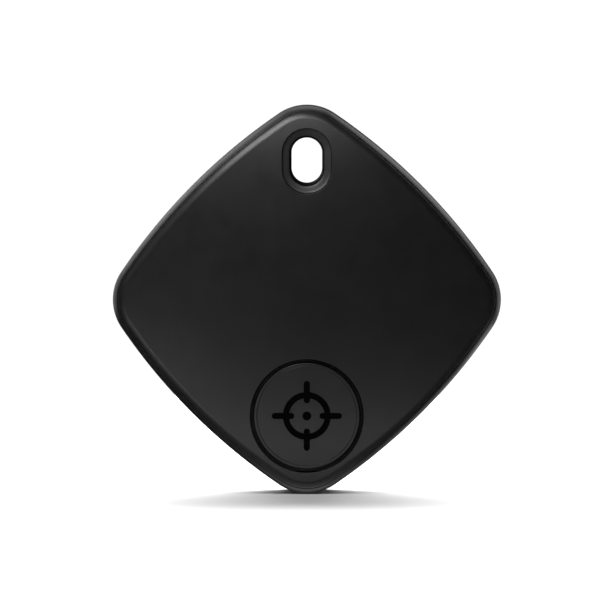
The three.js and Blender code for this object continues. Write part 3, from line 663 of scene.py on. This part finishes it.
def glyph_mark(name, grow, front, rear):
    """A plain aiming mark: a ring crossed by four ticks."""
    middle, stroke, tick_middle, tick_length = 2.45, 0.7, 2.8, 2.6
    half = stroke / 2 + grow
    mark = turned(name, [(middle - half, front), (middle + half, front), (middle + half, rear),
                         (middle - half, rear)], 0, BUTTON_Z, 96, True)
    ticks = []
    for turn in (0, 90, 180, 270):
        way = Vector((math.cos(math.radians(turn)), math.sin(math.radians(turn))))
        at = way * tick_middle
        outline = rounded(tick_length + 2 * grow, 2 * half, half * 0.98, at.x, at.y + BUTTON_Z, turn, 8)
        ticks.append(prism("tick", outline, front, rear))
    return join(mark, *ticks)


def make_button():
    cap = turned("button_moulding", cap_profile(), 0, BUTTON_Z, 128)
    flange = (INNER_FRONT + 0.05, INNER_FRONT + 0.5)
    stops = [prism("stop", rounded(16, 3, 0.3, 0, BUTTON_Z), *flange),
             prism("stop", rounded(3, 7.3, 0.3, 0, BUTTON_Z + 3.65), *flange),
             prism("stop", rounded(2.4, 7.1, 0.3, 0, BUTTON_Z - 3.55), *flange)]
    join(cap, *stops)
    depth, gap, dot_radius = 0.12, 0.03, 0.5
    pocket = glyph_mark("pocket", gap, FRONT - 0.5, FRONT + depth + 0.02)
    well = turned("well", [(dot_radius + gap, FRONT - 0.5), (dot_radius + gap, FRONT + depth + 0.02)],
                  0, BUTTON_Z, 40)
    cut(cap, pocket, well)
    stand_for(dress(smooth(cap, 28), "button"), "button_cap")
    mark = glyph_mark("button_glyph", 0.0, FRONT + 0.035, FRONT + depth)
    stand_for(dress(smooth(mark), "glyph"), "button_icon")
    dot = turned("button_glyph_dot", [(0.44, FRONT + 0.03), (dot_radius, FRONT + 0.06),
                                      (dot_radius, FRONT + depth)], 0, BUTTON_Z, 40)
    stand_for(dress(smooth(dot), "glyph"), "button_icon_dot")
    section = arc(BUTTON_RADIUS + 0.19, FRONT + 0.92, 0.18, 0, 345, 23)  # turned() closes the last step
    seal = turned("button_seal_ring", section, 0, BUTTON_Z, 96, True)
    stand_for(dress(smooth(seal), "silicone"), "button_seal")


make_front_shell()
make_rear_cover()
make_button()

# ---- Inside: parts on the board, the cell and what holds them ----

BOARD_REAR = span_of("main_board", 1)[1]

# Each two-ended part: length from end to end and width in mm, turn in degrees, material of the middle.
TWO_ENDED = {
    "chip_antenna": (3.2, 1.6, 45, "white_ceramic"),
    "main_crystal": (2.0, 1.6, 0, "white_ceramic"),
    "clock_crystal": (1.6, 1.0, 0, "white_ceramic"),
    "capacitor_1": (1.0, 0.5, 45, "tan_ceramic"),
    "capacitor_2": (1.0, 0.5, 0, "tan_ceramic"),
    "capacitor_3": (1.0, 0.5, 0, "tan_ceramic"),
    "capacitor_4": (1.0, 0.5, 90, "tan_ceramic"),
    "capacitor_5": (1.0, 0.5, 0, "tan_ceramic"),
    "resistor_1": (1.0, 0.5, 0, "resin"),
    "resistor_2": (1.0, 0.5, 90, "resin"),
    "resistor_3": (1.0, 0.5, 0, "resin"),
}


def plates(name, solids, bevel=0.0):
    """One object from several flat solids (outline, front, rear)."""
    bm = bmesh.new()
    for outline, front, rear in solids:
        add_rings(bm, [[(x, y, z) for x, z in outline] for y in (front, rear)])
    obj = new_object(name, bm)
    if bevel:
        round_edges(obj, bevel, 2)
        apply_modifiers(obj)
    return smooth(obj)


def carried(obj, body="case"):
    """obj is a detail that rides on a body and stands for no CAD node of its own."""
    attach(obj, body)


def make_two_ended(node, length, width, turn, material):
    """A surface-mounted part: a ceramic or resin middle with tinned ends that wrap round it."""
    front, rear = span_of(node, 1)
    at = centre_of(node)
    along = Vector((math.cos(math.radians(turn)), math.sin(math.radians(turn))))
    plating, end = 0.02, length * 0.22
    body = plates(f"{node}_body", [(rectangle(length - 2 * plating, width - 2 * plating, at.x, at.z, turn),
                                    front + plating, rear - plating)], 0.03)
    stand_for(dress(body, material), node)
    ends = []
    for side in (-1, 1):
        middle = Vector((at.x, at.z)) + along * side * (length - end) / 2
        ends.append((rectangle(end, width, middle.x, middle.y, turn), front, rear))
    carried(dress(plates(f"{node}_ends", ends, 0.04), "tin"))


def make_chips():
    """The radio chip with its rows of pads and pin mark, and the transistor with its three legs."""
    front, rear = span_of("radio_chip", 1)
    at = centre_of("radio_chip")
    size, pads, pitch = 5.0, 8, 0.5
    row, long, short, under = 2.36, 0.26, 0.24, 3.4
    chip = plates("radio_chip_body", [(rectangle(size, size, at.x, at.z), front, rear - 0.06)], 0.05)
    mark = turned("pin_mark", [(0.02, front - 0.1), (0.28, front - 0.1), (0.28, front + 0.03),
                               (0.02, front + 0.03)], at.x - 1.9, at.z + 1.9, 32)
    stand_for(dress(smooth(cut(chip, mark)), "resin"), "radio_chip")
    lands = []
    for i in range(pads):
        step = (i - (pads - 1) / 2) * pitch
        for x, z, w, h in ((step, row, short, long), (step, -row, short, long),
                           (row, step, long, short), (-row, step, long, short)):
            lands.append((rectangle(w, h, at.x + x, at.z + z), rear - 0.14, rear))
    lands.append((rectangle(under, under, at.x, at.z), rear - 0.1, rear))
    carried(dress(plates("radio_chip_pads", lands), "tin"))

    front, rear = span_of("sounder_transistor", 1)
    at = centre_of("sounder_transistor")
    body = plates("transistor_body", [(rectangle(2.9, 0.86, at.x, at.z), front, rear - 0.1)], 0.06)
    stand_for(dress(body, "resin"), "sounder_transistor")
    legs = [(rectangle(0.4, 0.3, at.x + x, at.z + z), rear - 0.3, rear)
            for x, z in ((-0.95, -0.5), (0.95, -0.5), (0, 0.5))]
    carried(dress(plates("transistor_legs", legs, 0.05), "tin"))


# Round pads on both sides of the board's rear: x, z, radius.
BOARD_PADS = ((12.6, 4.6, 0.5), (13.4, -4.8, 0.5), (11.6, -8.0, 0.4), (6.4, -13.6, 0.5),
              (2.4, -18.3, 0.35), (14.6, 2.6, 0.3), (14.8, -2.9, 0.3))
TRACK_WIDTH = 0.16


def make_board():
    """Gold pads and raised tracks on the rear of the board."""
    skin = 0.012
    rear = (BOARD_REAR - skin, BOARD_REAR + skin)
    pads, tracks = [], []

    def add_pad(x, z, radius):
        pads.append((arc(x, z, radius, 0, 345, 23), *rear))

    for side in (-1, 1):
        for x, z, radius in BOARD_PADS:
            add_pad(side * x, z, radius)
        for x in (1.2, 2.1, 3.0):
            tracks.append((rectangle(TRACK_WIDTH, 3.4, side * x, -14.6), *rear))
            add_pad(side * x, -12.7, 0.22)
            add_pad(side * x, -16.5, 0.22)
        for z, length in ((3.2, 5.0), (4.6, 4.0), (6.0, 3.4)):
            x = side * (3.4 + z * 0.6)
            tracks.append((rectangle(TRACK_WIDTH, length * 0.6, x, z, side * 45), *rear))
            add_pad(x, z, 0.2)
    carried(dress(plates("board_pads", pads), "gold"))
    carried(dress(plates("board_tracks", tracks), "track"))


def make_seal():
    """The silicone ring between the shells, with a round bead along its rear."""
    front, rear = span_of("case_seal", 1)
    outer = CORNER_REACH - span_of("case_seal", 0)[1]
    inner = outer + 0.6
    bm = bmesh.new()
    section = [(outer + 0.06, front), (outer, front + 0.06)] + [
        (outer + 0.3 - 0.3 * math.cos(a), rear - 0.16 + 0.16 * math.sin(a))
        for a in [math.pi * i / 10 for i in range(11)]] + [(inner, front + 0.06), (inner - 0.06, front)]
    add_rings(bm, [[(x, y, z) for x, z in case_outline(inset)] for inset, y in section], True)
    stand_for(dress(smooth(new_object("case_seal_ring", bm), 50), "silicone"), "case_seal")


def make_pad():
    """The foam pad on the rear cover: soft edges and a slightly uneven face."""
    front, rear = span_of("battery_pad", 1)
    radius = span_of("battery_pad", 0)[1]
    steps, rings = 96, 28
    profile = [(radius * (i + 0.2) / rings, front) for i in range(rings - 2)]
    profile += [(radius - 0.16, front + 0.004), (radius - 0.05, front + 0.03), (radius, front + 0.09),
                (radius, rear - 0.03), (radius - 0.02, rear), (0.2, rear)]
    pad = turned("battery_pad_foam", profile, 0, 0, steps)
    for v in pad.data.vertices:
        if v.co.y < (front + 0.01) * MM:
            x, z = v.co.x / MM, (v.co.z - MIDDLE_Z) / MM
            v.co.y += (0.006 + 0.003 * math.sin(1.7 * x + 0.6) * math.cos(1.3 * z)
                       + 0.003 * math.sin(2.9 * z + 1.1 * x)) * MM
    stand_for(dress(smooth(pad, 60), "foam"), "battery_pad")


def make_screw(node):
    """A pan-head screw with a cross recess and a thread."""
    front, rear = span_of(node, 1)
    at = centre_of(node)
    head, core, crest, pitch = 1.3, 0.47, 0.6, 0.36
    under = rear - 0.6
    profile = [(0.02, front), (0.12, front), (core * 0.75, front + 0.3)]
    y = front + 0.34
    while y + pitch < under - 0.1:
        profile += [(core, y), (crest, y + pitch * 0.42), (crest, y + pitch * 0.5),
                    (core, y + pitch * 0.92)]
        y += pitch
    profile += [(core, under - 0.05), (crest, under), (head - 0.05, under), (head, under + 0.05),
                (head, rear - 0.28), (head - 0.06, rear - 0.14), (head - 0.2, rear - 0.05),
                (head - 0.45, rear - 0.01), (0.02, rear)]
    screw = turned(f"{node}_body", profile, at.x, at.z, 48)
    arms = [prism("arm", rounded(1.5, 0.35, 0.12, at.x, at.z, turn), rear - 0.35, rear + 0.2)
            for turn in (20, 110)]
    cut(screw, *arms)
    stand_for(dress(smooth(screw), "steel"), node)


def make_cell():
    """The coin cell's two shells with drawn and crimped edges."""
    front, rear = span_of("coin_cell_can", 1)
    radius = span_of("coin_cell_can", 0)[1]
    wall, corner = 0.3, 0.3
    can = turned("coin_cell_can_shell", [
        (0.02, rear), (7.6, rear), (7.68, rear - 0.015), (7.76, rear), (9.3, rear)]
        + arc(radius - corner, rear - corner, corner, 85, 0, 8)
        + [(radius, front + 0.4)] + arc(radius - 0.3, front + 0.35, 0.3, -5, -75, 7)
        + [(9.52, front), (9.44, front + 0.03), (9.4, front + 0.2), (radius - wall, front + 0.4),
           (radius - wall, rear - wall), (0.02, rear - wall)], 0, 0, 144)
    stand_for(dress(smooth(can, 40), "cell_steel"), "coin_cell_can")
    front, rear = span_of("coin_cell_cap", 1)
    radius = span_of("coin_cell_cap", 0)[1]
    cap = turned("coin_cell_cap_shell", [
        (0.02, front), (6.9, front), (6.98, front + 0.015), (7.06, front), (8.0, front),
        (8.15, front + 0.02), (8.3, front + 0.08), (8.42, front + 0.17), (8.52, front + 0.24),
        (8.68, front + 0.3),
        (radius - 0.03, front + 0.36), (radius, front + 0.44), (radius, rear), (radius - 0.3, rear),
        (radius - 0.4, front + 0.4), (radius - 0.6, front + 0.3), (0.02, front + 0.3)], 0, 0, 144)
    stand_for(dress(smooth(cap, 40), "cell_steel"), "coin_cell_cap")


for part, row in TWO_ENDED.items():
    make_two_ended(part, *row)
make_chips()
make_board()
make_seal()
make_pad()
for screw_node in ("board_screw_left", "board_screw_right"):
    make_screw(screw_node)
make_cell()

# CAD nodes that are shown as they are: their material, and the width in mm that rounds their edges,
# or 0 to leave them as they are.
SHOWN = {
    "switch_base": ("switch_plastic", 0.05), "switch_cover": ("steel", 0.03),
    "switch_dome": ("steel", 0.0), "switch_plunger": ("switch_plastic", 0.04),
    "main_board": ("board", 0.04), "boost_inductor": ("ferrite", 0.04),
    "sounder_adhesive": ("tape", 0.03), "sounder_disc": ("brass", 0.03), "sounder_ceramic": ("piezo", 0.03),
    "sounder_lead_red": ("red_sleeve", 0.0), "sounder_lead_black": ("black_sleeve", 0.0),
    "coin_cell_gasket": ("nylon", 0.03), "coin_cell_anode": ("lithium", 0.05),
    "coin_cell_separator": ("paper", 0.0), "coin_cell_cathode": ("cathode", 0.08),
    "battery_frame": ("frame_plastic", 0.1), "positive_contact": ("bronze", 0.04),
    "negative_contact": ("bronze", 0.03),
}
for part, (material, width) in SHOWN.items():
    dress(nodes[part], material)
    if width:
        round_edges(nodes[part], width)


# ---- Stage, light and camera ----

FLOOR_Z = cad_bounds[0].z
FLOOR_WHITE = 0.9
SEEN_WHITE = 1.05  # just over 1, so that the background is pure white in the picture
ROOM_LIGHT = 0.02
PIXELS = 616
MM_PER_PIXEL = 0.11762  # CORNER_REACH over the tag's half width in pixels, measured in the photo
CAMERA_DISTANCE = 700.0
CAMERA_TILT = 3.0  # degrees below level
SENSOR = 36.0
RIM_DEPTH = FRONT + 2.0  # the outline seen from the front is the case's widest line


def make_stage():
    """A white floor under the tag. It reaches further forwards than back."""
    bm = bmesh.new()
    width, front, back = 160.0, -240.0, 170.0
    level = (FLOOR_Z - MIDDLE_Z) / MM
    corners = [(-width, front, level), (width, front, level), (width, back, level), (-width, back, level)]
    bm.faces.new([bm.verts.new(c) for c in corners])
    floor = new_object("floor", bm)
    material = bpy.data.materials.new("white_floor")
    material.use_nodes = True
    surface = material.node_tree.nodes["Principled BSDF"]
    surface.inputs["Base Color"].default_value = (FLOOR_WHITE, FLOOR_WHITE, FLOOR_WHITE, 1)
    surface.inputs["Roughness"].default_value = 0.9
    surface.inputs["Specular IOR Level"].default_value = 0.0
    floor.data.materials.append(material)
    floor.visible_glossy = False  # the bounce cards stand for what it would reflect
    return floor


def make_world():
    """White wherever the camera looks past the object, and a nearly dark room for the rest."""
    world = bpy.data.worlds.new("studio")
    bpy.context.scene.world = world
    world.use_nodes = True
    tree = world.node_tree
    background = tree.nodes["Background"]
    seen = tree.nodes.new("ShaderNodeBackground")
    seen.inputs["Color"].default_value = (1, 1, 1, 1)
    seen.inputs["Strength"].default_value = SEEN_WHITE
    background.inputs["Color"].default_value = (1, 1, 1, 1)
    background.inputs["Strength"].default_value = ROOM_LIGHT
    path = tree.nodes.new("ShaderNodeLightPath")
    mix = tree.nodes.new("ShaderNodeMixShader")
    tree.links.new(path.outputs["Is Camera Ray"], mix.inputs[0])
    tree.links.new(background.outputs[0], mix.inputs[1])
    tree.links.new(seen.outputs[0], mix.inputs[2])
    tree.links.new(mix.outputs[0], tree.nodes["World Output"].inputs["Surface"])


def make_light(name, place, size, brightness, target):
    """A soft rectangular light at place, aimed at target. Its size doesn't change its brightness."""
    data = bpy.data.lights.new(name, "AREA")
    data.shape = "RECTANGLE"
    data.size, data.size_y = size[0] * MM, size[1] * MM
    data.energy = brightness * math.pi * data.size * data.size_y
    light = bpy.data.objects.new(name, data)
    bpy.context.scene.collection.objects.link(light)
    light.location = Vector(place) * MM + Vector((0, 0, MIDDLE_Z))
    aim = (Vector(target) - Vector(place)).normalized()
    light.visible_camera = False
    light.rotation_mode = "QUATERNION"
    light.rotation_quaternion = aim.to_track_quat("-Z", "Y")
    return light


def make_camera():
    """A long lens, sized so that MM_PER_PIXEL holds at the case's widest line."""
    data = bpy.data.cameras.new("camera")
    data.sensor_width = SENSOR
    data.lens = SENSOR * (CAMERA_DISTANCE + RIM_DEPTH) / (PIXELS * MM_PER_PIXEL)
    data.clip_start, data.clip_end = 0.01, 20.0
    camera = bpy.data.objects.new("camera", data)
    bpy.context.scene.collection.objects.link(camera)
    right, down = 0.136, 1.0  # the tag sits a little left of and above the middle of the picture
    tilt = math.radians(CAMERA_TILT)
    aim = Vector((right, RIM_DEPTH, MIDDLE_Z / MM - down))
    away = Vector((0, -math.cos(tilt), math.sin(tilt))) * (CAMERA_DISTANCE + RIM_DEPTH)
    camera.location = (aim + away) * MM
    camera.rotation_euler = (math.radians(90) - tilt, 0, 0)
    bpy.context.scene.camera = camera


# Light cards for the tag alone: name, place and size in mm about the middle of the case, brightness, aim.
# The floor neither takes their light nor stops it. Most of the brightness values are the rounded output
# of a program that fitted them to the photo's brightness, and the rest were then changed.
CARDS = (
    ("top_card", (-10, -34, 34), (20, 12), 3.9, (-6, 0, 18)),
    ("top_near_card", (-14, -22, 32), (20, 12), 9.6, (-8, 0, 18)),
    ("slot_card", (0, -20, 24), (12, 6), 2.6, (0, 0, 20)),
    ("high_card", (0, -4, 50), (26, 26), 0.13, (0, 0, 20)),
    ("left_card", (-44, -30, 20), (24, 24), 0.6, (-8, 0, 0)),
    ("low_left_card", (-30, -40, -16), (30, 10), 2.8, (-10, 0, -14)),
    ("low_card", (0, -22, -19), (36, 6), 1.15, (0, 0, -16)),
    ("low_front_card", (0, -30, -14), (50, 14), 0.22, (0, 0, -14)),
    ("low_right_card", (40, 10, -18), (40, 8), 1.0, (10, 0, -10)),
    ("side_card", (70, -10, 70), (60, 60), 0.15, (0, 0, 0)),
    ("rear_top", (0, 50, 90), (60, 60), 1.33, (0, 0, 0)),
    ("rear_high_left", (-63, 50, 63), (60, 60), 2.06, (0, 0, 0)),
    ("rear_high_right", (63, 50, 63), (60, 60), 1.93, (0, 0, 0)),
    ("rear_left", (-90, 50, 8), (60, 60), 0.87, (0, 0, 0)),
    ("rear_right", (90, 50, 8), (60, 60), 0.98, (0, 0, 0)),
    ("far_left", (-50, 95, 4), (60, 60), 0.72, (0, 0, 0)),
    ("far_high_left", (-35, 95, 35), (60, 60), 0.28, (0, 0, 0)),
    ("rear_low_right", (60, 50, -14), (70, 16), 0.49, (0, 0, 0)),
    # What a pale floor would send back up.
    ("front_bounce", (0, -16, -40), (30, 16), 0.67, (0, 0, -16)),
    ("rear_bounce", (40, 40, -40), (40, 30), 0.68, (0, 0, -10)),
    ("low_bounce", (0, 5, -60), (60, 30), 1.2, (0, 0, -10)),
)

# Lights for the floor alone: one high behind the tag, so that its soft shadow falls forwards, and a fill
# in front.
FLOOR_LIGHTS = (
    ("floor_softbox", (0, 900, 1000), (2600, 900), 10.6, (0, 0, 0)),
    ("floor_fill", (0, -300, 900), (900, 600), 2.6, (0, 0, 0)),
)


floor = make_stage()
make_world()
make_camera()
floor_only = bpy.data.collections.new("lit_by_softboxes")
floor_only.objects.link(floor)
for softbox in FLOOR_LIGHTS:
    make_light(*softbox).light_linking.receiver_collection = floor_only
pieces_only = bpy.data.collections.new("lit_by_cards")
for piece in list(bpy.context.scene.objects):
    if piece.type == "MESH" and piece != floor:
        pieces_only.objects.link(piece)
for card in CARDS:
    linking = make_light(*card).light_linking
    linking.receiver_collection = linking.blocker_collection = pieces_only
bpy.context.scene.view_settings.view_transform = "Standard"
